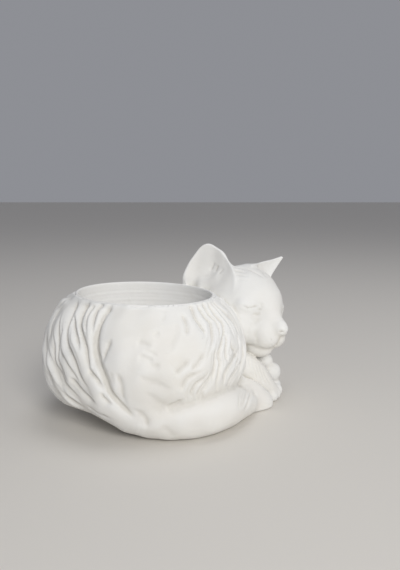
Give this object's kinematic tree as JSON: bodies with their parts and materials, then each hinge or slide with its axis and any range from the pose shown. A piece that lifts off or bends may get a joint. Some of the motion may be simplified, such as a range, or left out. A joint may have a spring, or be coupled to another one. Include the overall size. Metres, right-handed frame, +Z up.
{
  "type": "animal shaped planter",
  "caption": "Small white planter in the shape of a curled sleeping cat, with a round planting mouth in its back and a flat base to stand on.",
  "frame": {"origin": "on the standing face, under the middle of the planting mouth", "axes": "+Z up along the mouth's axis, +X towards the head end, +Y towards the cat's back, away from the side with the haunch and tail"},
  "size_m": [0.0845, 0.0696, 0.0538],
  "materials": {
    "cast": "matte white, unglazed"
  },
  "bodies": {
    "root": {"planting_cup": "cast", "torso": "cast", "haunch": "cast", "shoulder": "cast", "tail": "cast", "head": "cast", "ear_left": "cast", "ear_right": "cast", "foreleg_left": "cast", "foreleg_right": "cast", "hind_paw": "cast"}
  },
  "joints": []
}
